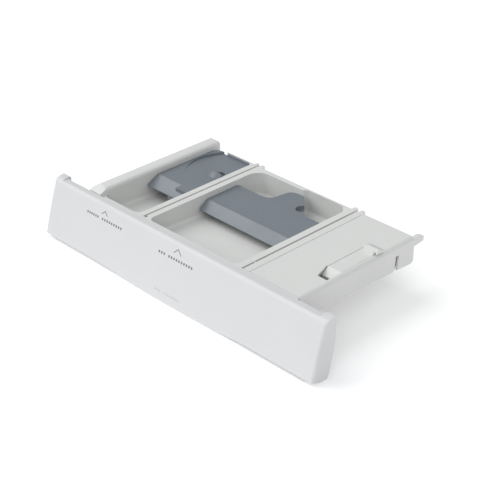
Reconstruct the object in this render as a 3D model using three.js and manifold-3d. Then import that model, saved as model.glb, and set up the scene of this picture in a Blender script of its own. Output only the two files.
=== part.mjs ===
// Detergent dispenser drawer of a front-loading washing machine.
// Units are millimetres, +Z is up, the user stands on the -Y side.
// The drawer is drawn with x = 0 on its middle plane, y = 0 on the upper front edge of the
// front panel and z = 0 on the panel's top lip; the last lines move it to its own origin.

import * as THREE from 'three';
import { mergeVertices } from 'three/addons/utils/BufferGeometryUtils.js';
import Module from 'manifold-3d';

const wasm = await Module();
wasm.setup();

// ---------------------------------------------------------------- driving dimensions

const GAP = 0.3;                 // clearance between pieces that touch in use
const CURVE_STEPS = 6;           // straight steps in each round corner

// front panel
const PANEL_HALF = 170;          // half the panel's width
const PANEL_DROP = 53.4;         // panel height below its top lip
const END_DROP = 50;             // height at the panel's two ends
const FACE_LEAN = 0.316;         // how far the face runs forward for each mm down
const PANEL_WALL = 2.8;
const LIP_DEPTH = 7.65;          // depth of the top lip
const EAR_WIDTH = 9;             // width of the deeper box at each end of the panel
const EAR_DEPTH = 11.6;
const EAR_RISE = 1.5;
const GRIP_HALF = 105;           // half the length of the lower, bowed part of the edge
const LIP_ROUND = { y: 3, z: -3.4 };   // where the rounded front of the lip starts and ends
const END_ROUND = 2.4;           // round between the face and the panel's two ends

// tray and deck
const TRAY_HALF = 129;
const RIM_Z = -1.7;              // top plane of the tray and deck
const TRAY_FRONT = 8;            // front of the tray's front wall
const BAY_FRONT = 11.9;          // inner face of the front wall
const TRAY_REAR = 151.5;
const SOFTENER_REAR = 152.6;     // the softener bay's rear wall stands a little further back
const WALL = 2.2;
const FLOOR = 2;
const UNDERSIDE_FRONT = -20.1;   // underside height at y = 0
const UNDERSIDE_FALL = 6.6 / 151.5;
const FLANGE_Z = -31;            // lower edge of the front wall
const BAY_CORNER = 6;            // upright corners of the bays
const BAY_BACK_CORNER = 13;      // the larger corner at the detergent bay's back left
const FLOOR_ROUND = 4;           // round between the bays' walls and floor
const RIDGE_REAR = 156.6;        // the long ridges stand out behind the rear wall
const RAIL_REAR = 155;

// left rail
const RAIL_INNER = -114;
const RAIL_CROWN = 5;
const RAIL_SLOPE = 12;           // length of its sloping front end

// bays, from left to right
const SOFTENER = { x0: -114, x1: -66.5 };
const DETERGENT = { x0: -52.7, x1: 57 };
const GROOVE_1 = { x0: -60.7, x1: -58.7 };
const GROOVE_DEPTH = 12;
const TRAY_RIGHT = 63.5;         // right face of the tray's last wall, beside the deck housing

// deck housing
const DECK_LEFT = 65.6;
const DECK_RIGHT = 130.4;
const DECK_ROUND = 4;
const DECK_LINE = { x0: 72.3, x1: 73.2, depth: 0.7 };
const WALL_SLOT = { front: 126, rear: 132.3, depth: 1.9, slit: 1.2, top: -11.4, lean: 0.119 };

// release latch
const LATCH = { x0: 111.6, x1: 125.8, root: 56.4, ramp: 64.6, stop: 104, end: 115.6 };
const LATCH_DIP = -6.4;          // top of the ramp's front end
const LATCH_THICK = 1.9;
const LATCH_PIVOT = { y: 57.6, z: -12, radius: 1.6 };
const STOP = { x0: 114, foot: 116.5, x1: 129.6, left: 2.9, right: 3.9, under: 1.3, tip: -0.3, lean: 1.3 };

// screws
const SCREW_RADIUS = 1.8;
const SCREW_HEAD = 3.4;
const PANEL_SCREW_Z = -26.5;
const PANEL_SCREW_X = [-104, -35, 35, 104];
const HOUSING_SCREWS = [[92, 30], [92, 134]];

// ---------------------------------------------------------------- shape helpers

// A closed geometry as a solid that can be cut and joined.
function toSolid(geometry) {
  const bare = geometry.clone();
  bare.deleteAttribute('normal');
  bare.deleteAttribute('uv');
  const merged = mergeVertices(bare, 1e-4);
  const vertProperties = new Float32Array(merged.attributes.position.array);
  const triVerts = new Uint32Array(merged.index.array);
  return new wasm.Manifold(new wasm.Mesh({ numProp: 3, vertProperties, triVerts }));
}

function toGeometry(solid) {
  const mesh = solid.getMesh();
  const geometry = new THREE.BufferGeometry();
  geometry.setAttribute('position', new THREE.BufferAttribute(mesh.vertProperties, 3));
  geometry.setIndex(new THREE.BufferAttribute(mesh.triVerts, 1));
  geometry.computeVertexNormals();
  return geometry;
}

function box(x0, x1, y0, y1, z0, z1) {
  const geometry = new THREE.BoxGeometry(x1 - x0, y1 - y0, z1 - z0);
  geometry.translate((x0 + x1) / 2, (y0 + y1) / 2, (z0 + z1) / 2);
  return toSolid(geometry);
}

function extrude(shape, depth) {
  return new THREE.ExtrudeGeometry(shape, { depth, bevelEnabled: false, curveSegments: CURVE_STEPS });
}

// An outline of [y, z] points, run from x0 to x1.
function alongX(outline, x0, x1) {
  const shape = outline instanceof THREE.Shape ? outline : polygon(outline);
  const geometry = extrude(shape, x1 - x0);
  const turn = new THREE.Matrix4().makeBasis(
    new THREE.Vector3(0, 1, 0), new THREE.Vector3(0, 0, 1), new THREE.Vector3(1, 0, 0));
  geometry.applyMatrix4(turn);
  geometry.translate(x0, 0, 0);
  return toSolid(geometry);
}

// An outline of [x, z] points, run from y0 to y1.
function alongY(outline, y0, y1) {
  const shape = outline instanceof THREE.Shape ? outline : polygon(outline);
  const geometry = extrude(shape, y1 - y0);
  geometry.rotateX(Math.PI / 2);
  geometry.translate(0, y1, 0);
  return toSolid(geometry);
}

// An outline of [x, y] points, run from z0 to z1.
function alongZ(outline, z0, z1) {
  const shape = outline instanceof THREE.Shape ? outline : polygon(outline);
  const geometry = extrude(shape, z1 - z0);
  geometry.translate(0, 0, z0);
  return toSolid(geometry);
}

function polygon(points) {
  return new THREE.Shape(points.map(([a, b]) => new THREE.Vector2(a, b)));
}

function roundedRectangle(x0, x1, y0, y1, radius, backLeft = radius) {
  const shape = new THREE.Shape();
  shape.moveTo(x0 + radius, y0);
  shape.lineTo(x1 - radius, y0);
  shape.absarc(x1 - radius, y0 + radius, radius, -Math.PI / 2, 0);
  shape.lineTo(x1, y1 - radius);
  shape.absarc(x1 - radius, y1 - radius, radius, 0, Math.PI / 2);
  shape.lineTo(x0 + backLeft, y1);
  shape.absarc(x0 + backLeft, y1 - backLeft, backLeft, Math.PI / 2, Math.PI);
  shape.lineTo(x0, y0 + radius);
  shape.absarc(x0 + radius, y0 + radius, radius, Math.PI, 1.5 * Math.PI);
  return shape;
}

// A round bar along Z, or along Y from y0 to y1.
function barZ(x, y, z0, z1, radius, sides = 20) {
  const geometry = new THREE.CylinderGeometry(radius, radius, z1 - z0, sides);
  geometry.rotateX(Math.PI / 2);
  geometry.translate(x, y, (z0 + z1) / 2);
  return toSolid(geometry);
}

function barY(x, z, y0, y1, radius, sides = 16) {
  const geometry = new THREE.CylinderGeometry(radius, radius, y1 - y0, sides);
  geometry.translate(x, (y0 + y1) / 2, z);
  return toSolid(geometry);
}

const undersideAt = (y) => UNDERSIDE_FRONT - UNDERSIDE_FALL * y;
const floorAt = (y) => undersideAt(y) + FLOOR;

// Everything above the falling line height(y), from y0 to y1.
function above(height, y0, y1, x0, x1, top = 20) {
  return alongX([[y0, height(y0)], [y1, height(y1)], [y1, top], [y0, top]], x0, x1);
}

function below(height, y0, y1, x0, x1, bottom = -60) {
  return alongX([[y0, bottom], [y1, bottom], [y1, height(y1)], [y0, height(y0)]], x0, x1);
}

// ---------------------------------------------------------------- materials

const plastic = (color, roughness) => new THREE.MeshStandardMaterial({ color, roughness, metalness: 0 });
const steel = () => new THREE.MeshStandardMaterial({ color: 0xb9bbbd, roughness: 0.35, metalness: 1 });
const WHITE = 0xe6e8ec;
const LIGHT_GREY = 0xd9d9d3;
const SLATE = 0x7d8894;

const group = new THREE.Group();

function add(name, solid, material) {
  const mesh = new THREE.Mesh(toGeometry(solid), material);
  mesh.name = name;
  group.add(mesh);
}

// ---------------------------------------------------------------- front panel

const faceAt = (z) => FACE_LEAN * z;

// The lower edge of the panel, seen from the front: it drops in a flat bow between the grip ends.
function panelOutline() {
  const shape = new THREE.Shape();
  const corner = 1.5;
  shape.moveTo(-PANEL_HALF, 40);
  shape.lineTo(-PANEL_HALF, -END_DROP + corner);
  shape.absarc(-PANEL_HALF + corner, -END_DROP + corner, corner, Math.PI, 1.5 * Math.PI);
  shape.lineTo(-GRIP_HALF, -END_DROP);
  shape.bezierCurveTo(-GRIP_HALF * 0.6, -END_DROP, -GRIP_HALF * 0.6, -PANEL_DROP, 0, -PANEL_DROP);
  shape.bezierCurveTo(GRIP_HALF * 0.6, -PANEL_DROP, GRIP_HALF * 0.6, -END_DROP, GRIP_HALF, -END_DROP);
  shape.lineTo(PANEL_HALF - corner, -END_DROP);
  shape.absarc(PANEL_HALF - corner, -END_DROP + corner, corner, 1.5 * Math.PI, 2 * Math.PI);
  shape.lineTo(PANEL_HALF, 40);
  return shape;
}

// The outline run backwards and down, so that the edge is bevelled behind the face.
function lowerEdgeCutter() {
  const fall = 3.4 / 8.3;
  const face = faceAt(-END_DROP);
  const geometry = extrude(panelOutline(), 60);
  geometry.rotateX(Math.PI / 2);
  geometry.translate(0, 40, 0);
  const shear = new THREE.Matrix4().set(1, 0, 0, 0, 0, 1, 0, 0, 0, -fall, 1, fall * face, 0, 0, 0, 1);
  geometry.applyMatrix4(shear);
  return toSolid(geometry).intersect(box(-200, 200, -60, 60, -PANEL_DROP, 30));
}

// The outer side outline of the panel: the lip, the leaning face and the open back.
function panelSection(back, top = 0) {
  const shape = new THREE.Shape();
  shape.moveTo(back, top);
  shape.lineTo(LIP_ROUND.y, top);
  shape.quadraticCurveTo(0.5, top - 0.1, faceAt(LIP_ROUND.z), LIP_ROUND.z);
  shape.quadraticCurveTo(faceAt(-26) - 0.9, -26, faceAt(-PANEL_DROP) + 0.2, -PANEL_DROP - 1);
  shape.lineTo(back, -PANEL_DROP - 1);
  return shape;
}

// The panel's side outline over its full width, with each end rounded towards the face.
function roundedEnds(back, top) {
  const steps = 5;
  const points = [];
  for (let step = 0; step <= steps; step += 1) {
    const turn = (Math.PI / 2) * (step / steps);
    const x = PANEL_HALF - END_ROUND * (1 - Math.sin(turn));
    const inset = END_ROUND * (1 - Math.cos(turn));
    for (const point of panelSection(back, top).getPoints(CURVE_STEPS)) {
      const y = Math.min(point.x + inset, back);
      points.push([-x, y, point.y], [x, y, point.y]);
    }
  }
  return wasm.Manifold.hull(points);
}

function makeFrontPanel() {
  const outer = roundedEnds(LIP_DEPTH, 0);
  const hollow = alongX([
    [LIP_DEPTH + 10, -PANEL_WALL],
    [faceAt(-PANEL_WALL) + PANEL_WALL + 0.3, -PANEL_WALL],
    [faceAt(-26) + PANEL_WALL - 0.5, -26],
    [faceAt(-PANEL_DROP - 4) + PANEL_WALL + 0.3, -PANEL_DROP - 4],
    [LIP_DEPTH + 10, -PANEL_DROP - 4],
  ], -PANEL_HALF - 1, PANEL_HALF + 1);
  let panel = outer.subtract(hollow);
  for (const side of [-1, 1]) {
    panel = panel.add(makeEar(side));
  }
  panel = panel.intersect(lowerEdgeCutter());
  for (const x of PANEL_SCREW_X) {
    const boss = barY(x, PANEL_SCREW_Z, faceAt(PANEL_SCREW_Z) + 1.5, LIP_DEPTH - 2.9, 4.2);
    const pilot = barY(x, PANEL_SCREW_Z, faceAt(PANEL_SCREW_Z) + 4.2, LIP_DEPTH, SCREW_RADIUS + GAP);
    panel = panel.add(boss).subtract(pilot);
  }
  return panel;
}

// The box that closes one end of the panel. Its back curves forward towards the bottom.
function makeEar(side) {
  const outline = new THREE.Shape();
  outline.moveTo(1.8, 0);
  outline.lineTo(5, EAR_RISE * 0.7);
  outline.lineTo(EAR_DEPTH - 2, EAR_RISE);
  outline.quadraticCurveTo(EAR_DEPTH, EAR_RISE, EAR_DEPTH, -2);
  outline.lineTo(EAR_DEPTH - 1.2, -18);
  outline.quadraticCurveTo(EAR_DEPTH - 2.6, -32, 3.2, -END_DROP);
  outline.lineTo(1.5, -PANEL_DROP);
  outline.lineTo(faceAt(-END_DROP) + 3, -PANEL_DROP);
  outline.lineTo(faceAt(-END_DROP) + 0.9, -END_DROP);
  outline.lineTo(faceAt(-26) + 0.9, -26);
  outline.lineTo(faceAt(-3) + 0.9, -3);
  const inner = [
    [EAR_DEPTH - 3.8, -9], [EAR_DEPTH - 4.2, -18], [2.2, -44], [faceAt(-44) + 5, -44], [2.6, -9],
  ];
  const x0 = side < 0 ? -PANEL_HALF : PANEL_HALF - EAR_WIDTH;
  const solid = alongX(outline, x0, x0 + EAR_WIDTH).intersect(roundedEnds(EAR_DEPTH + 1, EAR_RISE + 1));
  const pocketStart = side < 0 ? x0 + 2.6 : x0 - 1;
  return solid.subtract(alongX(inner, pocketStart, pocketStart + EAR_WIDTH - 1.6));
}

// ---------------------------------------------------------------- grip liner

const LINER_HALF = PANEL_HALF - EAR_WIDTH - GAP;
const LINER = { y0: LIP_DEPTH - 2.6, y1: LIP_DEPTH, top: -PANEL_WALL - GAP, bottom: -34 };

// The back wall of the finger grip, with a rolled lower edge and stiffening ribs.
function makeGripLiner() {
  let liner = box(-LINER_HALF, LINER_HALF, LINER.y0, LINER.y1, LINER.bottom, LINER.top);
  const roll = alongX([
    [LINER.y0, LINER.bottom], [LINER.y1, LINER.bottom], [LINER.y1 + 1.8, LINER.bottom - 2.5],
    [LINER.y1 + 1, LINER.bottom - 4.5], [LINER.y0 + 0.8, LINER.bottom - 3.5],
  ], -LINER_HALF, LINER_HALF);
  liner = liner.add(roll);
  for (const x of PANEL_SCREW_X) {
    for (const side of [-9, 9]) {
      const rib = [[LINER.y0 + 0.5, LINER.top - 2], [LINER.y0 - 2.8, LINER.top - 3], [LINER.y0 + 0.5, -20]];
      liner = liner.add(alongX(rib, x + side - 0.9, x + side + 0.9));
    }
    liner = liner.subtract(barY(x, PANEL_SCREW_Z, 0, 12, SCREW_RADIUS + 0.5));
  }
  return liner;
}

// ---------------------------------------------------------------- tray

// One bay: round corners in plan, round below, open at the top, with a floor that falls to the
// back. A margin makes it smaller all round, for what stands inside it.
function bayHollow(x0, x1, y1, margin = 0, backLeft = BAY_CORNER) {
  const plan = roundedRectangle(
    x0 + margin, x1 - margin, BAY_FRONT + margin, y1 - margin, BAY_CORNER - margin, backLeft - margin);
  const geometry = new THREE.ExtrudeGeometry(plan, {
    depth: 40, curveSegments: CURVE_STEPS, bevelEnabled: true, bevelSegments: 3,
    bevelThickness: FLOOR_ROUND, bevelSize: FLOOR_ROUND, bevelOffset: -FLOOR_ROUND,
  });
  geometry.translate(0, 0, FLOOR_ROUND + margin);
  const slope = new THREE.Matrix4().set(
    1, 0, 0, 0, 0, 1, 0, 0, 0, -UNDERSIDE_FALL, 1, UNDERSIDE_FRONT + FLOOR, 0, 0, 0, 1);
  geometry.applyMatrix4(slope);
  return toSolid(geometry);
}

// The rail on the left wall: a rounded crown over a channel that is open below.
function railOutline() {
  const shape = new THREE.Shape();
  shape.moveTo(-TRAY_HALF, -12);
  shape.lineTo(-TRAY_HALF + WALL, -12);
  shape.lineTo(-TRAY_HALF + WALL, -0.5);
  shape.lineTo(RAIL_INNER - WALL, -0.5);
  shape.lineTo(RAIL_INNER - WALL, -12);
  shape.lineTo(RAIL_INNER, -12);
  shape.lineTo(RAIL_INNER, 1);
  shape.quadraticCurveTo(RAIL_INNER, RAIL_CROWN - 0.8, RAIL_INNER - 3.8, RAIL_CROWN - 0.4);
  shape.quadraticCurveTo(RAIL_INNER - 6.6, RAIL_CROWN + 0.2, -TRAY_HALF + 4.6, RAIL_CROWN - 0.2);
  shape.quadraticCurveTo(-TRAY_HALF, RAIL_CROWN - 1.4, -TRAY_HALF, 1);
  return shape;
}

// The rail with its front end sloped down to the lip and its rear end rounded.
function makeRail() {
  const rail = alongY(railOutline(), TRAY_FRONT, RAIL_REAR);
  const side = new THREE.Shape();
  side.moveTo(TRAY_FRONT, -20);
  side.lineTo(RAIL_REAR, -20);
  side.lineTo(RAIL_REAR, 1.5);
  side.quadraticCurveTo(RAIL_REAR, RAIL_CROWN, RAIL_REAR - 3.5, RAIL_CROWN + 0.6);
  side.lineTo(TRAY_FRONT + RAIL_SLOPE, RAIL_CROWN + 0.6);
  side.lineTo(TRAY_FRONT, 1);
  return rail.intersect(alongX(side, -TRAY_HALF - 1, RAIL_INNER + 1));
}

// The rounded end of one ridge of a divider, behind the rear wall.
function ridgeEnd(x, radius = 2.4) {
  const bottom = RIM_Z - GROOVE_DEPTH;
  const root = box(x - radius, x + radius, TRAY_REAR - 1, RIDGE_REAR - radius, bottom, RIM_Z - 0.1);
  return root.add(barZ(x, RIDGE_REAR - radius, bottom, RIM_Z - 0.1, radius, 14));
}

// The upper part of the softener bay is deeper, so that the cap reaches close to the wall's edge.
const REBATE_REAR = SOFTENER_REAR - 1.2;
function capRebate() {
  const plan = roundedRectangle(SOFTENER.x0, SOFTENER.x1, TRAY_REAR - 30, REBATE_REAR, 5.2);
  return alongZ(plan, -8.6, 5);
}

// The rear wall dips beside the rail, with a sloping side.
function rearDip() {
  const side = [[-113.9, 8], [-113.9, -0.4], [-110.6, -5.2], [-108.3, -6.1], [-100.5, -6.1], [-99.5, 8]];
  return alongY(side, TRAY_REAR - 3.4, SOFTENER_REAR + 1);
}

const STANDPIPE = { x: -86, y: 128, top: -9, outer: 4.6, bore: 2.8 };

function makeTray() {
  const left = RAIL_INNER - WALL;
  let tray = above(undersideAt, TRAY_FRONT, TRAY_REAR, left, TRAY_RIGHT, RIM_Z);
  // front wall over the whole width, with the flange that carries the panel
  tray = tray.add(box(-TRAY_HALF, TRAY_HALF, TRAY_FRONT, BAY_FRONT, FLANGE_Z, RIM_Z));
  // shelf under the deck housing
  const shelf = above(undersideAt, BAY_FRONT - 1, TRAY_REAR - WALL - 1, TRAY_RIGHT - 1, DECK_RIGHT - 4, 0);
  tray = tray.add(shelf.intersect(below(floorAt, 0, TRAY_REAR, TRAY_RIGHT - 1, DECK_RIGHT)));
  const rearPad = above(undersideAt, TRAY_REAR - 1, SOFTENER_REAR, left, SOFTENER.x1 + 1, RIM_Z);
  tray = tray.add(makeRail()).add(rearPad);
  tray = tray.subtract(bayHollow(SOFTENER.x0, SOFTENER.x1, TRAY_REAR - WALL));
  tray = tray.subtract(detergentHollow());
  tray = tray.subtract(dividerGroove());
  tray = tray.add(ridgeEnd(-62.9, 2.1)).add(ridgeEnd(-55.7)).add(ridgeEnd(61));
  tray = tray.subtract(rearDip()).subtract(capRebate());
  tray = tray.add(standpipe()).subtract(standpipeBore());
  tray = tray.add(insertLedges());
  for (const x of PANEL_SCREW_X) {
    tray = tray.subtract(barY(x, PANEL_SCREW_Z, 0, 20, SCREW_RADIUS + 0.4));
  }
  for (const [x, y] of HOUSING_SCREWS) {
    tray = tray.subtract(barZ(x, y, -40, -10, SCREW_RADIUS + 0.4));
  }
  return tray;
}

// The back wall of the detergent bay steps back on the right. The bay drains through a low slot
// in the left part of that wall.
const STEP_X = 4;
const STEP_Y = TRAY_REAR - 5.4;
const OUTLET = { x0: -24, x1: -4, rise: 8 };
function detergentHollow() {
  const shallow = bayHollow(DETERGENT.x0, DETERGENT.x1, STEP_Y, 0, BAY_BACK_CORNER);
  const deep = bayHollow(STEP_X, DETERGENT.x1 - 3, TRAY_REAR - 1.8);
  const low = floorAt(TRAY_REAR) + 0.4;
  const outlet = box(OUTLET.x0, OUTLET.x1, STEP_Y - 6, TRAY_REAR + 2, low, low + OUTLET.rise);
  return shallow.add(deep.intersect(box(-200, 200, 70, 200, -60, 60))).add(outlet);
}

function dividerGroove() {
  const groove = box(GROOVE_1.x0, GROOVE_1.x1, BAY_FRONT + 1, RIDGE_REAR + 3, RIM_Z - GROOVE_DEPTH, 5);
  const mouth = box(GROOVE_1.x0, GROOVE_1.x1 + 2.2, BAY_FRONT + 0.5, BAY_FRONT + 3.5, RIM_Z - 5, 5);
  return groove.add(mouth);
}

function standpipe() {
  return barZ(STANDPIPE.x, STANDPIPE.y, floorAt(STANDPIPE.y) - 1, STANDPIPE.top, STANDPIPE.outer);
}

function standpipeBore() {
  return barZ(STANDPIPE.x, STANDPIPE.y, -40, 0, STANDPIPE.bore);
}

// Small ledges that the detergent insert stands on, one at each side of its bay.
function insertLedges() {
  const left = box(DETERGENT.x0 - 1, DETERGENT.x0 + 2, 86, 112, -12.5, INSERT.top - INSERT.thick - GAP);
  const right = box(DETERGENT.x1 - 2, DETERGENT.x1 + 1, 86, 112, -12.5, INSERT.top - INSERT.thick - GAP);
  return left.add(right);
}

// ---------------------------------------------------------------- deck housing

// The deck and right wall, one moulding like a box without a floor.
function makeDeckHousing() {
  const front = BAY_FRONT + GAP;
  const outline = new THREE.Shape();
  outline.moveTo(DECK_LEFT, -40);
  outline.lineTo(DECK_RIGHT, -40);
  outline.lineTo(DECK_RIGHT, RIM_Z - DECK_ROUND);
  outline.absarc(DECK_RIGHT - DECK_ROUND, RIM_Z - DECK_ROUND, DECK_ROUND, 0, Math.PI / 2);
  outline.lineTo(DECK_LEFT, RIM_Z);
  let housing = alongY(outline, front, TRAY_REAR);
  // the right wall reaches the underside and its lower back corner is round
  housing = housing.intersect(alongX(wallOutline(), DECK_LEFT - 1, DECK_RIGHT + 1));
  const inner = box(DECK_LEFT + WALL, DECK_RIGHT - WALL, front + WALL, TRAY_REAR - WALL, -60, RIM_Z - WALL);
  housing = housing.subtract(inner);
  const shelfRear = TRAY_REAR - WALL - 1 + GAP;
  const overShelf = (y) => floorAt(y) + GAP;
  housing = housing.subtract(below(overShelf, 0, shelfRear, DECK_LEFT - 1, DECK_RIGHT - 4 + GAP));
  for (const [x, y] of HOUSING_SCREWS) {
    housing = housing.add(barZ(x, y, floorAt(y) + GAP, RIM_Z - 1, 4));
    housing = housing.subtract(barZ(x, y, -40, RIM_Z - 4.5, SCREW_RADIUS + GAP));
  }
  housing = housing.add(rearTab()).add(ridgeEnd(DECK_LEFT + 3.6));
  housing = housing.subtract(deckLine()).subtract(wallSlot()).subtract(latchWindow());
  return housing.add(latchWeb()).add(grooveRib());
}

function wallOutline() {
  const round = 4.5;
  const low = undersideAt(TRAY_REAR);
  const shape = new THREE.Shape();
  shape.moveTo(0, 20);
  shape.lineTo(0, undersideAt(0));
  shape.lineTo(TRAY_REAR - round, undersideAt(TRAY_REAR - round));
  shape.quadraticCurveTo(TRAY_REAR, low, TRAY_REAR, low + round);
  shape.lineTo(TRAY_REAR, 20);
  return shape;
}

// A small guide tab that stands out behind the right wall.
function rearTab() {
  return alongX([
    [TRAY_REAR - 1, -11.9], [165, -10.6], [165.2, -6.2], [163.4, -4.8], [159, -2.9], [156.6, -2.5],
    [TRAY_REAR - 1, -3.2],
  ], DECK_RIGHT - 3.6, DECK_RIGHT - 0.8);
}

function deckLine() {
  return box(DECK_LINE.x0, DECK_LINE.x1, BAY_FRONT - 1, TRAY_REAR - 3, RIM_Z - DECK_LINE.depth, 5);
}

// A slanted groove in the right wall that deepens towards a narrow slit, open below.
function wallSlot() {
  const { front, rear, depth, slit, top, lean } = WALL_SLOT;
  const outside = DECK_RIGHT + 0.1;
  const inside = DECK_RIGHT - WALL - 1;
  const plan = polygon([
    [outside, front], [DECK_RIGHT - depth, rear - slit], [inside, rear - slit],
    [inside, rear], [outside, rear],
  ]);
  const geometry = extrude(plan, 30);
  geometry.translate(0, 0, top - 30);
  geometry.applyMatrix4(new THREE.Matrix4().set(1, 0, 0, 0, 0, 1, lean, -lean * top, 0, 0, 1, 0, 0, 0, 0, 1));
  return toSolid(geometry);
}

// The window round the latch, chamfered at its front left corner.
function latchWindow() {
  const left = LATCH.x0 - 0.6;
  const right = LATCH.x1 + GAP;
  const rear = LATCH.end + 0.9;
  return alongZ([
    [115.6, 47], [right, 47], [right, rear], [left, rear],
    [left, LATCH.ramp + 0.4], [LATCH.x0 - 1.4, LATCH.ramp - 1],
  ], RIM_Z - 12, 5);
}

// The cross web under the deck that carries the latch's foot, and its rib on the left.
function latchWeb() {
  const bottom = LATCH_PIVOT.z - LATCH_PIVOT.radius - GAP;
  const web = box(LATCH.x0 - 3, DECK_RIGHT - 1, LATCH_PIVOT.y - 4, LATCH_PIVOT.y + 4, bottom - 1.6, bottom);
  const rib = box(LATCH.x0 - 3, LATCH.x0 - 1.2, LATCH_PIVOT.y - 4, LATCH_PIVOT.y + 4, bottom - 1, RIM_Z - 1);
  return web.add(rib);
}

// One thin rib across the open groove beside the tray.
function grooveRib() {
  return box(TRAY_RIGHT + GAP, DECK_LEFT + 1, 26, 27.4, RIM_Z - 8, RIM_Z - 0.4);
}

// ---------------------------------------------------------------- release latch

// Side outline: a foot below, the ramp, the flat tongue and the stop at its free end.
function makeLatch() {
  const t = LATCH_THICK;
  const foot = LATCH_PIVOT;
  const side = [
    [foot.y - 1, foot.z], [foot.y + 1, foot.z], [foot.y + 1, LATCH_DIP - t], [LATCH.ramp + 0.6, RIM_Z - t],
    [LATCH.stop + 4, RIM_Z - t - 0.4], [LATCH.end, RIM_Z - t - 1], [LATCH.end, RIM_Z + 0.2],
    [LATCH.stop, RIM_Z + 0.2], [LATCH.stop, RIM_Z], [LATCH.ramp, RIM_Z], [LATCH.root, LATCH_DIP],
  ];
  const tongue = alongX(side, LATCH.x0, LATCH.x1);
  const pivot = new THREE.CylinderGeometry(foot.radius, foot.radius, LATCH.x1 - LATCH.x0, 20);
  pivot.rotateZ(Math.PI / 2);
  pivot.translate((LATCH.x0 + LATCH.x1) / 2, foot.y, foot.z);
  return tongue.add(toSolid(pivot)).add(makeStop());
}

// The stop: steep in front, sloping behind, with its right end reaching out and down over the
// deck's round edge, far enough from it to follow the tongue down.
function makeStop() {
  const profile = [
    [LATCH.stop - STOP.lean, RIM_Z - 1], [LATCH.end, RIM_Z - 1], [LATCH.end, RIM_Z + 0.2],
    [LATCH.stop + STOP.lean + 1.2, STOP.right], [LATCH.stop + STOP.lean, STOP.right],
    [LATCH.stop - STOP.lean, RIM_Z],
  ];
  const front = [
    [STOP.foot, RIM_Z - 1], [LATCH.x1, RIM_Z - 1], [LATCH.x1, STOP.under], [STOP.x1 - 1.8, STOP.under],
    [STOP.x1, STOP.tip], [STOP.x1 - 0.4, STOP.right], [STOP.x0, STOP.left],
  ];
  const reach = alongY(front, LATCH.stop - STOP.lean, LATCH.end);
  return alongX(profile, STOP.x0 - 1, STOP.x1 + 1).intersect(reach);
}

// ---------------------------------------------------------------- softener cap

const CAP = {
  x0: SOFTENER.x0 + 0.5, x1: SOFTENER.x1 - 0.5, top: -1.9, thick: 2,
  lip: 62, crease: 75.5, rear: REBATE_REAR - 0.8,
};
const CAP_DISH = { x: -69.7, y: 126, radius: 41.8, from: 95, slope: 0.05, deepest: 2.1 };
const CAP_RIM = { x0: -97.5, x1: -70, thick: 1.4, top: -2.2 };
const CAP_FINGER = { x: -74, y: 116.8, radius: 5, floor: -6 };   // blind pocket for a fingertip
const CAP_MOUND = { rise: 1.2, inner: 6.6, slope: 1.1, rear: 112.4, left: -81.6 };
const CAP_FLAT = { x: -80.8, y: 68.4 };

function capPlan() {
  const plan = new THREE.Shape();
  plan.moveTo(CAP.x0 + 1, CAP.lip - 1);
  plan.lineTo(CAP.x1, CAP.lip - 1);
  plan.lineTo(CAP.x1, CAP.rear - 5);
  plan.absarc(CAP.x1 - 5, CAP.rear - 5, 5, 0, Math.PI / 2);
  plan.lineTo(CAP.x0 + 8, CAP.rear);
  plan.absarc(CAP.x0 + 8, CAP.rear - 8, 8, Math.PI / 2, Math.PI);
  plan.lineTo(CAP.x0, CAP.lip + 1);
  return plan;
}

// The round dish in the top: it starts level with the plate and deepens towards the back.
function capDish() {
  const floor = (y) => CAP.top - Math.min(CAP_DISH.deepest, CAP_DISH.slope * Math.max(0, y - CAP_DISH.from));
  const level = CAP_DISH.from + CAP_DISH.deepest / CAP_DISH.slope;
  const round = barZ(CAP_DISH.x, CAP_DISH.y, -8, 6, CAP_DISH.radius, 64);
  const room = alongX([
    [CAP_DISH.from, floor(CAP_DISH.from)], [level, floor(level)], [CAP.rear + 2, floor(level)],
    [CAP.rear + 2, 5], [CAP_DISH.from, 5],
  ], CAP.x0 - 1, CAP.x1 + 1);
  return round.intersect(room);
}

function makeSoftenerCap() {
  const t = CAP.thick;
  const side = [
    [CAP.lip, -8.4], [CAP.lip + 1, -10.2], [CAP.crease + 1, CAP.top - t], [98, CAP.top - t],
    [108, CAP.top - 4.2], [CAP.rear, CAP.top - 4.2], [CAP.rear, CAP.top], [CAP.crease, CAP.top],
  ];
  let cap = alongX(side, CAP.x0, CAP.x1).intersect(alongZ(capPlan(), -40, 5));
  // the level corner beside the apron, over the leg
  cap = cap.add(box(CAP_FLAT.x, CAP.x1, CAP_FLAT.y, CAP.crease + 1, -5.4, CAP.top));
  cap = cap.subtract(capDish()).add(capRim()).add(fingerMound());
  const { x, y, radius, floor } = CAP_FINGER;
  const cup = barZ(x, y, floor - 1.6, CAP.top - 3, radius + 1.5, 24);
  cap = cap.add(cup.intersect(box(CAP.x0, CAP.x1, CAP.crease, CAP.rear, floor - 2, 0)));
  cap = cap.subtract(barZ(x, y, floor, 5, radius, 24)).add(capLegs());
  const sleeve = barZ(STANDPIPE.x, STANDPIPE.y, floorAt(STANDPIPE.y) + 1.6, CAP.top - 3.2, 8.2, 24);
  cap = cap.add(sleeve);
  return cap.subtract(barZ(STANDPIPE.x, STANDPIPE.y, -40, CAP.top - 4.4, 6.4, 24));
}

// The cap's upturned rear edge.
function capRim() {
  return box(CAP_RIM.x0, CAP_RIM.x1, CAP.rear - CAP_RIM.thick, CAP.rear, CAP.top - 4, CAP_RIM.top);
}

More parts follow.
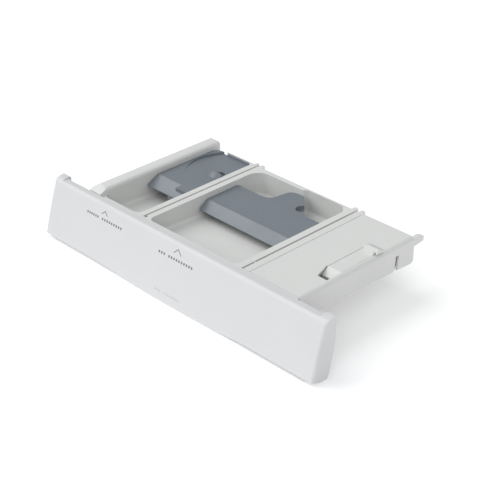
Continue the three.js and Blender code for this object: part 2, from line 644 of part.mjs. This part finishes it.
// The mound round the front of the finger pocket: a cone that slopes up to the lip a fingertip
// pulls on.
function fingerMound() {
  const { rise, inner, slope, rear, left } = CAP_MOUND;
  const bottom = CAP.top - 3;
  const height = rise - bottom;
  const cone = new THREE.CylinderGeometry(inner, inner + height * slope, height, 40);
  cone.rotateX(Math.PI / 2);
  cone.translate(CAP_FINGER.x, CAP_FINGER.y, bottom + height / 2);
  return toSolid(cone).intersect(box(left, CAP.x1, 90, rear, bottom, 5));
}

// A front leg and a side wall on the right carry the cap on the bay's floor.
function capLegs() {
  const leg = box(-86, CAP.x1, CAP.lip + 0.6, CAP.lip + 3, -40, -8.6);
  const wall = box(CAP.x1 - 2, CAP.x1, CAP.lip + 0.6, 96, -40, CAP.top - 1);
  const slope = above((y) => -8.4 + (y - CAP.lip) * 0.48, 40, CAP_FLAT.y, -90, -60);
  const room = bayHollow(SOFTENER.x0, SOFTENER.x1, TRAY_REAR - WALL, 0.45);
  return leg.add(wall.subtract(slope)).intersect(room);
}

// ---------------------------------------------------------------- detergent insert

const INSERT = {
  x0: DETERGENT.x0 + 0.5, x1: DETERGENT.x1 - 0.5, top: -7, thick: 2.2,
  lip: 69.8, lipZ: -13.3, crease: 80.5, rear: 119.4, tabRear: 145.6,
};

const INSERT_FINGER = { x: 21.6, y: 127.4, radius: 6, floor: -11 };

function makeDetergentInsert() {
  const t = INSERT.thick;
  const side = [
    [INSERT.lip, INSERT.lipZ], [INSERT.lip + 1.1, INSERT.lipZ - 1.9], [INSERT.crease + 1, INSERT.top - t],
    [150, INSERT.top - t], [150, INSERT.top], [INSERT.crease, INSERT.top],
  ];
  // plan: a plate with a tongue at the back, smooth on its left and slanted on its right
  const plan = new THREE.Shape();
  plan.moveTo(INSERT.x0 + 3, INSERT.lip - 1);
  plan.lineTo(INSERT.x1, INSERT.lip - 1);
  plan.lineTo(INSERT.x1, INSERT.rear);
  plan.lineTo(32.5, INSERT.rear);
  plan.lineTo(8, INSERT.tabRear - 1.5);
  plan.quadraticCurveTo(6.5, INSERT.tabRear, 4, INSERT.tabRear);
  plan.lineTo(0, INSERT.tabRear);
  plan.quadraticCurveTo(-8.6, INSERT.tabRear - 0.5, -9.6, 138);
  plan.lineTo(-10.6, 129.5);
  plan.quadraticCurveTo(-12.2, INSERT.rear, -22, INSERT.rear);
  plan.lineTo(INSERT.x0 + 2, INSERT.rear);
  plan.quadraticCurveTo(INSERT.x0, INSERT.rear, INSERT.x0, INSERT.rear - 2);
  plan.lineTo(INSERT.x0, INSERT.crease + 2);
  plan.quadraticCurveTo(INSERT.x0 - 0.2, INSERT.crease - 5, INSERT.x0 + 1.6, INSERT.lip - 1);
  let insert = alongX(side, INSERT.x0, INSERT.x1).intersect(alongZ(plan, -40, 5));
  // a blind pocket for a fingertip in the tongue's right edge
  const { x, y, radius, floor } = INSERT_FINGER;
  const cup = barZ(x, y, floor - 1.4, INSERT.top - 1, radius + 1.4, 24);
  insert = insert.add(cup.intersect(alongZ(plan, -40, 5))).subtract(barZ(x, y, floor, 0, radius, 24));
  // legs at both sides and the dam across the bay
  const innerX0 = INSERT.x0 + 1.9;
  const innerX1 = INSERT.x1 - 1.9;
  let legs = box(innerX0, innerX1, 115, 117, -40, INSERT.top - 1);
  for (const x0 of [innerX0, innerX1 - 2]) {
    legs = legs.add(box(x0, x0 + 2, INSERT.crease + 2, 117, -40, INSERT.top - 1));
  }
  const room = bayHollow(DETERGENT.x0, DETERGENT.x1, STEP_Y, 0.4, BAY_BACK_CORNER);
  return insert.add(legs.intersect(room));
}

// ---------------------------------------------------------------- screws

// A pan-head screw along +Y or +Z, with a cross recess in its head.
function panelScrew(x) {
  const seat = BAY_FRONT + GAP;
  const shank = barY(x, PANEL_SCREW_Z, faceAt(PANEL_SCREW_Z) + 4.8, seat + 0.5, SCREW_RADIUS, 12);
  const head = barY(x, PANEL_SCREW_Z, seat, seat + 2.2, SCREW_HEAD, 16);
  const slot = box(x - 1.9, x + 1.9, seat + 1.2, seat + 4, PANEL_SCREW_Z - 0.45, PANEL_SCREW_Z + 0.45);
  const cross = box(x - 0.45, x + 0.45, seat + 1.2, seat + 4, PANEL_SCREW_Z - 1.9, PANEL_SCREW_Z + 1.9);
  return shank.add(head).subtract(slot).subtract(cross);
}

function housingScrew(x, y) {
  const seat = undersideAt(y) - 0.5;
  const shank = barZ(x, y, seat - 0.5, RIM_Z - 5.2, SCREW_RADIUS, 12);
  const head = barZ(x, y, seat - 2.2, seat, SCREW_HEAD, 16);
  const slot = box(x - 1.9, x + 1.9, y - 0.45, y + 0.45, seat - 4, seat - 1.2);
  const cross = box(x - 0.45, x + 0.45, y - 1.9, y + 1.9, seat - 4, seat - 1.2);
  return shank.add(head).subtract(slot).subtract(cross);
}

// ---------------------------------------------------------------- assembly

add('front_panel', makeFrontPanel(), plastic(WHITE, 0.3));
add('grip_liner', makeGripLiner(), plastic(WHITE, 0.5));
add('drawer_tray', makeTray(), plastic(LIGHT_GREY, 0.42));
add('deck_housing', makeDeckHousing(), plastic(LIGHT_GREY, 0.42));
add('release_latch', makeLatch(), plastic(LIGHT_GREY, 0.42));
add('softener_cap', makeSoftenerCap(), plastic(SLATE, 0.5));
add('detergent_insert', makeDetergentInsert(), plastic(SLATE, 0.5));
PANEL_SCREW_X.forEach((x, i) => add(`panel_screw_${i + 1}`, panelScrew(x), steel()));
HOUSING_SCREWS.forEach(([x, y], i) => add(`housing_screw_${i + 1}`, housingScrew(x, y), steel()));

// Origin: middle of the drawer's length and width, on the plane of its lowest edge.
const bounds = new THREE.Box3().setFromObject(group);
group.position.set(0, -(bounds.min.y + bounds.max.y) / 2, -bounds.min.z);

export default group;
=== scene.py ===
"""Detergent drawer of a front-loading washing machine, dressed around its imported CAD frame."""

import math

import bmesh
import bpy
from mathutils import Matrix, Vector
from mathutils.bvhtree import BVHTree


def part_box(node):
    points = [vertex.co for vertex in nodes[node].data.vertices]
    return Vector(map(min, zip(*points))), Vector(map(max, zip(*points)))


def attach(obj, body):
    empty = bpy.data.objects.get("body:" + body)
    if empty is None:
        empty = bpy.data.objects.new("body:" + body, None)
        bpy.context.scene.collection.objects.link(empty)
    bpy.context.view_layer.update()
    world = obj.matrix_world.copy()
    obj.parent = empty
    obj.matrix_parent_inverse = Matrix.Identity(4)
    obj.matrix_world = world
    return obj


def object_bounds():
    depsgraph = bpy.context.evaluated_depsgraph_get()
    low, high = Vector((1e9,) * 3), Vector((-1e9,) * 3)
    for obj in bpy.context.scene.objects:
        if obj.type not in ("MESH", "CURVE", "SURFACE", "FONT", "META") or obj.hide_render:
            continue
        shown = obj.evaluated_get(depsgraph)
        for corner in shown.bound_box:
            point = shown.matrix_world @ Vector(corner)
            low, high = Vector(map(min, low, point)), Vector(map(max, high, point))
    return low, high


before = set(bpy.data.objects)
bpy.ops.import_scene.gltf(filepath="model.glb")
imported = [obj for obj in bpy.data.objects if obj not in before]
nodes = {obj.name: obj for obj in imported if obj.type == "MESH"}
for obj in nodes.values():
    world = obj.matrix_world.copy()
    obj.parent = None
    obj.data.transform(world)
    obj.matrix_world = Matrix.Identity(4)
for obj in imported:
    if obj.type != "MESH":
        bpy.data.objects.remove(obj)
cad_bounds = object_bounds()

MM = 0.001

# ---------------------------------------------------------------- places taken from the frame

panel_low, panel_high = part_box("front_panel")
PANEL_DROP = 53.4 * MM           # height of the panel below its top lip
PANEL_LEFT = panel_low.x
LIP_Z = panel_low.z + PANEL_DROP

# ---------------------------------------------------------------- node helpers


def new_material(name):
    """An empty node material: returns (material, nodes, links, principled shader)."""
    material = bpy.data.materials.new(name)
    material.use_nodes = True
    tree = material.node_tree
    tree.nodes.clear()
    output = tree.nodes.new("ShaderNodeOutputMaterial")
    shader = tree.nodes.new("ShaderNodeBsdfPrincipled")
    tree.links.new(shader.outputs["BSDF"], output.inputs["Surface"])
    return material, tree.nodes, tree.links, shader


def noise(tree_nodes, links, coordinates, scale, detail=3.0, roughness=0.55):
    """A noise texture in metres: scale is features per metre."""
    texture = tree_nodes.new("ShaderNodeTexNoise")
    texture.inputs["Scale"].default_value = scale
    texture.inputs["Detail"].default_value = detail
    texture.inputs["Roughness"].default_value = roughness
    links.new(coordinates, texture.inputs["Vector"])
    return texture.outputs["Fac"]


def ramp(tree_nodes, links, value, low, high, out_low, out_high):
    """Maps a value from low..high to out_low..out_high, clamped."""
    node = tree_nodes.new("ShaderNodeMapRange")
    node.inputs["From Min"].default_value = low
    node.inputs["From Max"].default_value = high
    node.inputs["To Min"].default_value = out_low
    node.inputs["To Max"].default_value = out_high
    links.new(value, node.inputs["Value"])
    return node.outputs["Result"]


def mix_colour(tree_nodes, links, factor, first, second):
    """Mixes two colours, each a tuple or a socket."""
    node = tree_nodes.new("ShaderNodeMix")
    node.data_type = "RGBA"
    links.new(factor, node.inputs["Factor"])
    for socket, colour in ((node.inputs["A"], first), (node.inputs["B"], second)):
        if isinstance(colour, tuple):
            socket.default_value = (*colour, 1.0)
        else:
            links.new(colour, socket)
    return node.outputs["Result"]


def worn_edges(tree_nodes, links, coordinates, radius):
    """1 on outside edges that hands rub, broken up by noise, falling to 0 a radius away."""
    rounded = tree_nodes.new("ShaderNodeBevel")
    rounded.samples = 6
    rounded.inputs["Radius"].default_value = radius
    surface = tree_nodes.new("ShaderNodeNewGeometry")
    facing = tree_nodes.new("ShaderNodeVectorMath")
    facing.operation = "DOT_PRODUCT"
    links.new(rounded.outputs["Normal"], facing.inputs[0])
    links.new(surface.outputs["Normal"], facing.inputs[1])
    near = ramp(tree_nodes, links, facing.outputs["Value"], 0.999, 0.93, 0.0, 1.0)
    patches = noise(tree_nodes, links, coordinates, WEAR_SCALE, 4.0)
    patchy = ramp(tree_nodes, links, patches, 0.35, 0.6, 0.25, 1.0)
    both = tree_nodes.new("ShaderNodeMath")
    both.operation = "MULTIPLY"
    links.new(near, both.inputs[0])
    links.new(patchy, both.inputs[1])
    return both.outputs["Value"]


# ---------------------------------------------------------------- materials


WEAR_RADIUS = 0.8 * MM
WEAR_LIFT = 1.1                  # how much paler the plastic is on a rubbed edge
WEAR_GLOSS = 0.1                 # how much smoother it is there
WEAR_SCALE = 180.0               # breaks in the rubbed edges per metre
MOTTLE_SCALE = 26.0              # pigment clouds per metre
RUB_SCALE = 60.0                 # handling marks per metre


def moulded_plastic(name, colour, shade, roughness, grain, grain_depth, specular=0.45):
    """Injection-moulded plastic: fine spark-eroded grain, faint flow mottling and rubbed edges."""
    material, tree_nodes, links, shader = new_material(name)
    where = tree_nodes.new("ShaderNodeTexCoord").outputs["Object"]
    # slow mottling of the pigment, then the rubbed edges
    mottle = noise(tree_nodes, links, where, MOTTLE_SCALE, 4.0)
    tone = ramp(tree_nodes, links, mottle, 0.3, 0.7, 0.0, 1.0)
    colours = mix_colour(tree_nodes, links, tone, colour, shade)
    worn = worn_edges(tree_nodes, links, where, WEAR_RADIUS)
    rubbed = tuple(WEAR_LIFT * channel for channel in colour)
    links.new(mix_colour(tree_nodes, links, worn, colours, rubbed), shader.inputs["Base Color"])
    # fine grain for the bump and the roughness
    fine = noise(tree_nodes, links, where, grain, 2.0)
    rub = noise(tree_nodes, links, where, RUB_SCALE, 5.0, 0.65)
    gloss = ramp(tree_nodes, links, rub, 0.35, 0.7, roughness - 0.04, roughness + 0.07)
    polish = tree_nodes.new("ShaderNodeMath")
    polish.operation = "MULTIPLY_ADD"
    polish.inputs[1].default_value = -WEAR_GLOSS
    links.new(worn, polish.inputs[0])
    links.new(gloss, polish.inputs[2])
    links.new(polish.outputs["Value"], shader.inputs["Roughness"])
    bump = tree_nodes.new("ShaderNodeBump")
    bump.inputs["Strength"].default_value = 0.35
    bump.inputs["Distance"].default_value = grain_depth
    links.new(fine, bump.inputs["Height"])
    links.new(bump.outputs["Normal"], shader.inputs["Normal"])
    shader.inputs["Specular IOR Level"].default_value = specular
    return material


def zinc_steel():
    """Plain zinc-plated screw steel."""
    material, tree_nodes, links, shader = new_material("zinc_steel")
    where = tree_nodes.new("ShaderNodeTexCoord").outputs["Object"]
    patches = noise(tree_nodes, links, where, 900.0, 4.0)
    tone = ramp(tree_nodes, links, patches, 0.3, 0.7, 0.0, 1.0)
    colours = mix_colour(tree_nodes, links, tone, (0.62, 0.63, 0.64), (0.48, 0.49, 0.50))
    links.new(colours, shader.inputs["Base Color"])
    links.new(ramp(tree_nodes, links, patches, 0.3, 0.7, 0.28, 0.42), shader.inputs["Roughness"])
    shader.inputs["Metallic"].default_value = 1.0
    return material


def ink(name, colour, shade):
    """Pad-printed ink: slightly uneven, matt."""
    material, tree_nodes, links, shader = new_material(name)
    where = tree_nodes.new("ShaderNodeTexCoord").outputs["Object"]
    patches = noise(tree_nodes, links, where, 1500.0, 3.0)
    tone = ramp(tree_nodes, links, patches, 0.35, 0.65, 0.0, 1.0)
    links.new(mix_colour(tree_nodes, links, tone, colour, shade), shader.inputs["Base Color"])
    links.new(ramp(tree_nodes, links, patches, 0.3, 0.7, 0.45, 0.6), shader.inputs["Roughness"])
    return material


WHITE = moulded_plastic(
    "white_plastic", (0.617, 0.622, 0.631), (0.603, 0.608, 0.618),
    roughness=0.36, grain=2600.0, grain_depth=0.012 * MM)
GREY = moulded_plastic(
    "light_grey_plastic", (0.665, 0.67, 0.655), (0.645, 0.65, 0.635),
    roughness=0.44, grain=2200.0, grain_depth=0.02 * MM)
SLATE = moulded_plastic(
    "slate_plastic", (0.172, 0.195, 0.222), (0.155, 0.178, 0.204),
    roughness=0.37, grain=2200.0, grain_depth=0.02 * MM, specular=0.6)
STEEL = zinc_steel()
INK = ink("dark_ink", (0.15, 0.15, 0.16), (0.19, 0.19, 0.20))
FAINT_INK = ink("grey_ink", (0.42, 0.42, 0.43), (0.48, 0.48, 0.49))

FINISH = {
    "front_panel": WHITE,
    "grip_liner": WHITE,
    "drawer_tray": GREY,
    "deck_housing": GREY,
    "release_latch": GREY,
    "softener_cap": SLATE,
    "detergent_insert": SLATE,
}

# ---------------------------------------------------------------- softened edges on the CAD nodes


def smooth_by_angle(limit):
    """A geometry node group that shades smooth everywhere but across edges sharper than limit."""
    group = bpy.data.node_groups.new("smooth_by_angle", "GeometryNodeTree")
    group.interface.new_socket("Geometry", in_out="INPUT", socket_type="NodeSocketGeometry")
    group.interface.new_socket("Geometry", in_out="OUTPUT", socket_type="NodeSocketGeometry")
    start = group.nodes.new("NodeGroupInput")
    end = group.nodes.new("NodeGroupOutput")
    faces = group.nodes.new("GeometryNodeSetShadeSmooth")
    faces.domain = "FACE"
    edges = group.nodes.new("GeometryNodeSetShadeSmooth")
    edges.domain = "EDGE"
    angle = group.nodes.new("GeometryNodeInputMeshEdgeAngle")
    sharp = group.nodes.new("FunctionNodeCompare")
    sharp.operation = "LESS_THAN"
    sharp.inputs["B"].default_value = limit
    group.links.new(angle.outputs["Unsigned Angle"], sharp.inputs["A"])
    group.links.new(start.outputs[0], faces.inputs["Geometry"])
    group.links.new(faces.outputs["Geometry"], edges.inputs["Geometry"])
    group.links.new(sharp.outputs["Result"], edges.inputs["Shade Smooth"])
    group.links.new(edges.outputs["Geometry"], end.inputs[0])
    return group


SMOOTH_BELOW = math.radians(22)  # edges flatter than this are shaded smooth
BEVEL_ABOVE = math.radians(24)   # edges sharper than this are rounded
SMOOTH = smooth_by_angle(SMOOTH_BELOW)


def soften(node, width, segments=3):
    """Welds the node's facets, merges flat ones, rounds its edges and evens out its shading."""
    weld = node.modifiers.new("weld", "WELD")
    weld.merge_threshold = 0.002 * MM
    flat = node.modifiers.new("flat", "DECIMATE")
    flat.decimate_type = "DISSOLVE"
    flat.angle_limit = math.radians(0.4)
    edge = node.modifiers.new("edge", "BEVEL")
    edge.width = width
    edge.segments = segments
    edge.limit_method = "ANGLE"
    edge.angle_limit = BEVEL_ABOVE
    shade = node.modifiers.new("shade", "NODES")
    shade.node_group = SMOOTH
    even = node.modifiers.new("even", "WEIGHTED_NORMAL")
    even.keep_sharp = True


SCREW_EDGE = 0.12 * MM
EDGE = {
    "front_panel": 0.5 * MM,
    "grip_liner": 0.3 * MM,
    "drawer_tray": 0.45 * MM,
    "deck_housing": 0.4 * MM,
    "release_latch": 0.35 * MM,
    "softener_cap": 0.4 * MM,
    "detergent_insert": 0.4 * MM,
}

for name, node in nodes.items():
    node.data.materials.clear()
    node.data.materials.append(FINISH.get(name, STEEL))
    soften(node, EDGE.get(name, SCREW_EDGE), 3 if name in EDGE else 2)

# ---------------------------------------------------------------- printed marks on the front panel


def panel_surface():
    """The outer skin of the front panel, for placing the print on it."""
    mesh = nodes["front_panel"].data
    return BVHTree.FromPolygons([v.co for v in mesh.vertices], [p.vertices[:] for p in mesh.polygons])


SKIN = panel_surface()
INK_ABOVE = 0.05 * MM
INK_BELOW = 0.05 * MM
DASH_SHARE = 0.58                # how much of each step in a row its dash fills
RAY_START = 0.05                 # how far in front of the panel a placing ray starts


def on_face(x, drop):
    """The point on the panel's face at x from its left end and drop below its lip, and the normal."""
    start = Vector((PANEL_LEFT + x, panel_low.y - RAY_START, LIP_Z - drop))
    point, normal, _, _ = SKIN.ray_cast(start, Vector((0, 1, 0)))
    return point, normal


def stamp(bm, outline):
    """Adds one closed patch of ink over an outline of (x, drop) points, anticlockwise from outside."""
    outer = []
    inner = []
    for x, drop in outline:
        point, normal = on_face(x, drop)
        outer.append(bm.verts.new(point + normal * INK_ABOVE))
        inner.append(bm.verts.new(point - normal * INK_BELOW))
    bm.faces.new(outer)
    bm.faces.new(inner[::-1])
    for i, vertex in enumerate(outer):
        j = (i + 1) % len(outer)
        bm.faces.new((vertex, inner[i], inner[j], outer[j]))


def dash(bm, x, drop, length, height):
    """A short bar with cut corners, centred on (x, drop)."""
    cut = 0.25 * height
    a = length / 2
    b = height / 2
    corners = [(-a, -b + cut), (-a, b - cut), (-a + cut, b), (a - cut, b),
               (a, b - cut), (a, -b + cut), (a - cut, -b), (-a + cut, -b)]
    stamp(bm, [(x + u, drop + v) for u, v in corners])


def chevron(bm, x, drop, width, height, stroke):
    """An open arrowhead pointing up, with its apex at (x, drop)."""
    half = width / 2
    for side in (-1, 1):
        arm = [(x, drop), (x, drop + stroke), (x + side * (half - stroke * 0.3), drop + height),
               (x + side * half, drop + height - stroke * 0.7)]
        stamp(bm, arm if side < 0 else arm[::-1])


def print_mark(name, words, drop, height, pitch, material, arrow=None):
    """A row of plain dashes in groups, each (start, end), and perhaps an arrowhead above. In mm."""
    bm = bmesh.new()
    for start, end in words:
        first = start * MM
        length = end * MM - first
        count = max(1, round(length / (pitch * MM)))
        step = length / count
        for i in range(count):
            dash(bm, first + (i + 0.5) * step, drop * MM, step * DASH_SHARE, height * MM)
    if arrow:
        chevron(bm, *(value * MM for value in arrow))
    bmesh.ops.recalc_face_normals(bm, faces=bm.faces)
    mesh = bpy.data.meshes.new(name)
    bm.to_mesh(mesh)
    bm.free()
    piece = bpy.data.objects.new(name, mesh)
    bpy.context.scene.collection.objects.link(piece)
    mesh.materials.append(material)
    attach(piece, "drawer")


print_mark("panel_mark_softener", [(51, 68), (71.5, 100)], drop=12.6, height=2.3, pitch=3,
           material=INK, arrow=(74.6, 5, 8.2, 4, 1))
print_mark("panel_mark_detergent", [(148.5, 158), (161, 192.5)], drop=13.6, height=2.3, pitch=3.2,
           material=INK, arrow=(171.6, 4.2, 9.6, 5, 1))
print_mark("panel_mark_low", [(152, 161), (163.5, 184.5)], drop=45, height=1.3, pitch=2.6,
           material=FAINT_INK)

# ---------------------------------------------------------------- floor, light and camera

SUNS = {                         # azimuth, elevation, strength, softness in degrees
    "front": (-35, 30, 0.58, 35),
    "upper": (-78, 50, 1.1, 45),
    "right": (42, 42, 0.85, 60),
}
SKY = 0.5
GLOW = 0.18
FLOOR_HALF = 4.0
FLOOR_GAP = 0.2 * MM
CAMERA = {"azimuth": 45.89, "elevation": 30.02, "roll": -0.31, "distance": 1181.6 * MM, "lens": 97.52}
CAMERA_TARGET = Vector((15.7 * MM, -6.1 * MM, 25.8 * MM))


def pale_floor():
    """A wide pale floor just under the drawer."""
    bm = bmesh.new()
    bmesh.ops.create_grid(bm, x_segments=8, y_segments=8, size=FLOOR_HALF)
    mesh = bpy.data.meshes.new("floor")
    bm.to_mesh(mesh)
    bm.free()
    floor = bpy.data.objects.new("floor", mesh)
    bpy.context.scene.collection.objects.link(floor)
    material, tree_nodes, links, shader = new_material("floor_paper")
    where = tree_nodes.new("ShaderNodeTexCoord").outputs["Object"]
    tone = noise(tree_nodes, links, where, 3.0)
    colours = mix_colour(tree_nodes, links, tone, (0.93, 0.93, 0.93), (0.94, 0.94, 0.94))
    links.new(colours, shader.inputs["Base Color"])
    shader.inputs["Roughness"].default_value = 0.9
    shader.inputs["Emission Color"].default_value = (1.0, 1.0, 1.0, 1.0)
    shader.inputs["Emission Strength"].default_value = GLOW
    mesh.materials.append(material)
    floor.location.z = cad_bounds[0][2] - FLOOR_GAP


def sun(name, azimuth, elevation, strength, softness):
    """A soft distant light. Azimuth 0 comes from -Y, 90 from +X."""
    data = bpy.data.lights.new(name, "SUN")
    data.energy = strength
    data.angle = math.radians(softness)
    light = bpy.data.objects.new(name, data)
    bpy.context.scene.collection.objects.link(light)
    a = math.radians(azimuth)
    e = math.radians(elevation)
    towards = Vector((math.sin(a) * math.cos(e), -math.cos(a) * math.cos(e), math.sin(e)))
    light.rotation_euler = towards.to_track_quat("Z", "Y").to_euler()
    light.location = towards * 3


def studio_world():
    """Even light from all round, very slightly cool."""
    world = bpy.data.worlds.new("studio")
    world.use_nodes = True
    background = world.node_tree.nodes["Background"]
    background.inputs["Color"].default_value = (0.97, 0.985, 1.0, 1.0)
    background.inputs["Strength"].default_value = SKY
    bpy.context.scene.world = world


def camera():
    """The photographer's place: above and to the front right, with a long lens."""
    azimuth = math.radians(CAMERA["azimuth"])
    elevation = math.radians(CAMERA["elevation"])
    roll = math.radians(CAMERA["roll"])
    back = Vector((math.sin(azimuth) * math.cos(elevation), -math.cos(azimuth) * math.cos(elevation),
                   math.sin(elevation)))
    data = bpy.data.cameras.new("camera")
    data.sensor_width = 36.0
    data.lens = CAMERA["lens"]
    data.clip_start = 0.05
    data.clip_end = 30.0
    eye = bpy.data.objects.new("camera", data)
    bpy.context.scene.collection.objects.link(eye)
    eye.location = CAMERA_TARGET + back * CAMERA["distance"]
    right = Vector((math.cos(azimuth), math.sin(azimuth), 0.0))
    up = back.cross(right)
    turned_right = right * math.cos(roll) + up * math.sin(roll)
    turned_up = up * math.cos(roll) - right * math.sin(roll)
    matrix = eye.matrix_world.to_3x3()
    matrix.col[0] = turned_right
    matrix.col[1] = turned_up
    matrix.col[2] = back
    eye.rotation_euler = matrix.to_euler()
    bpy.context.scene.camera = eye


pale_floor()
for name, values in SUNS.items():
    sun(name, *values)
studio_world()
camera()
bpy.context.scene.view_settings.view_transform = "Standard"
